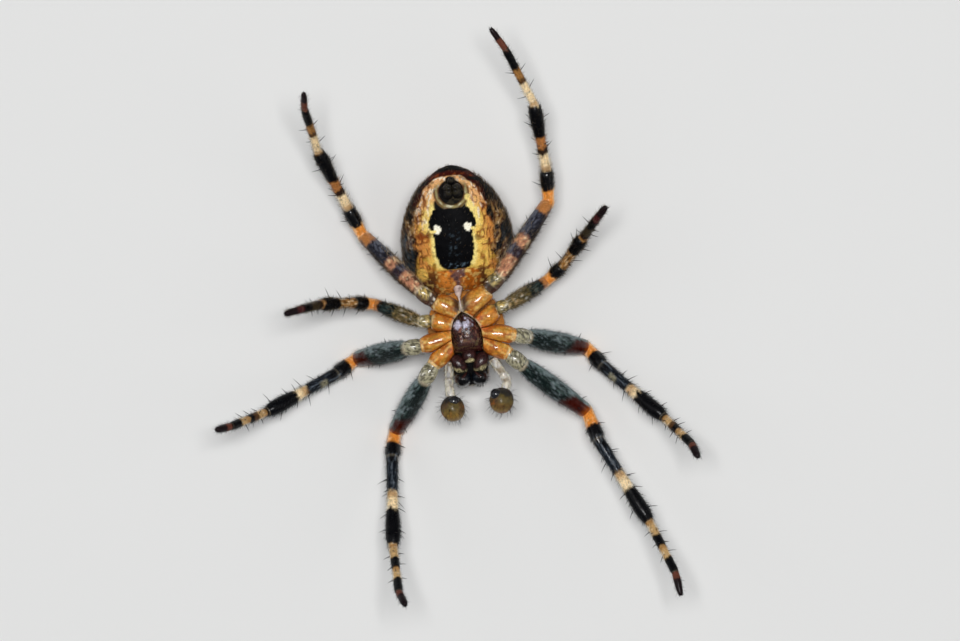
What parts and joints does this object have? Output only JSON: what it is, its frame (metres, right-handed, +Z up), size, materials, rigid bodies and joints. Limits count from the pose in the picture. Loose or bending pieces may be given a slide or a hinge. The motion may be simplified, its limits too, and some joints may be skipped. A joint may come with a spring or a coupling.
{
  "type": "garden orb weaver spider",
  "caption": "Life-size orb weaver spider, spread as it hangs on its web, belly up, with banded legs, swollen palps and an egg-shaped abdomen.",
  "frame": {"origin": "on the small flat that the abdomen's back rests on, in the body's mirror plane", "axes": "+Z up, the way the belly faces; +Y to the abdomen's end, -Y to the head; -X is the spider's own left"},
  "size_m": [0.0198, 0.0239, 0.0058],
  "materials": {
    "amber": "glossy translucent amber shell of the leg bases",
    "slate": "dark grey-green hairy thigh",
    "rust": "orange knee plate, black towards its end",
    "soot": "black and cream banded shell, satin",
    "umber": "tan and black banded foot",
    "shield": "dark purple-brown granular breastplate",
    "mottled": "soft skin, mottled brown, orange, yellow and black",
    "back": "brown shell under pale hairs",
    "olive": "olive-brown swollen palp end",
    "pale": "pale translucent yellow-grey",
    "eye": "black polished lens"
  },
  "bodies": {
    "root": {"carapace": "back", "sternum": "shield", "abdomen": "mottled", "spinnerets": "soot", "pedicel": "pale", "left_front_middle_eye": "eye", "left_rear_middle_eye": "eye", "left_side_eyes": "eye", "left_endite": "shield", "left_chelicera": "soot", "left_palp": "pale", "left_palp_bulb": "olive", "left_leg_1_coxa": "amber", "left_leg_1_femur": "slate", "left_leg_1_patella": "rust", "left_leg_1_tibia": "soot", "left_leg_1_foot": "umber", "left_leg_2_coxa": "amber", "left_leg_2_femur": "slate", "left_leg_2_patella": "rust", "left_leg_2_tibia": "soot", "left_leg_2_foot": "umber", "left_leg_3_coxa": "amber", "left_leg_3_femur": "slate", "left_leg_3_patella": "rust", "left_leg_3_tibia": "soot", "left_leg_3_foot": "umber", "left_leg_4_coxa": "amber", "left_leg_4_femur": "slate", "left_leg_4_patella": "rust", "left_leg_4_tibia": "soot", "left_leg_4_foot": "umber", "right_front_middle_eye": "eye", "right_rear_middle_eye": "eye", "right_side_eyes": "eye", "right_endite": "shield", "right_chelicera": "soot", "right_palp": "pale", "right_palp_bulb": "olive", "right_leg_1_coxa": "amber", "right_leg_1_femur": "slate", "right_leg_1_patella": "rust", "right_leg_1_tibia": "soot", "right_leg_1_foot": "umber", "right_leg_2_coxa": "amber", "right_leg_2_femur": "slate", "right_leg_2_patella": "rust", "right_leg_2_tibia": "soot", "right_leg_2_foot": "umber", "right_leg_3_coxa": "amber", "right_leg_3_femur": "slate", "right_leg_3_patella": "rust", "right_leg_3_tibia": "soot", "right_leg_3_foot": "umber", "right_leg_4_coxa": "amber", "right_leg_4_femur": "slate", "right_leg_4_patella": "rust", "right_leg_4_tibia": "soot", "right_leg_4_foot": "umber"}
  },
  "joints": []
}
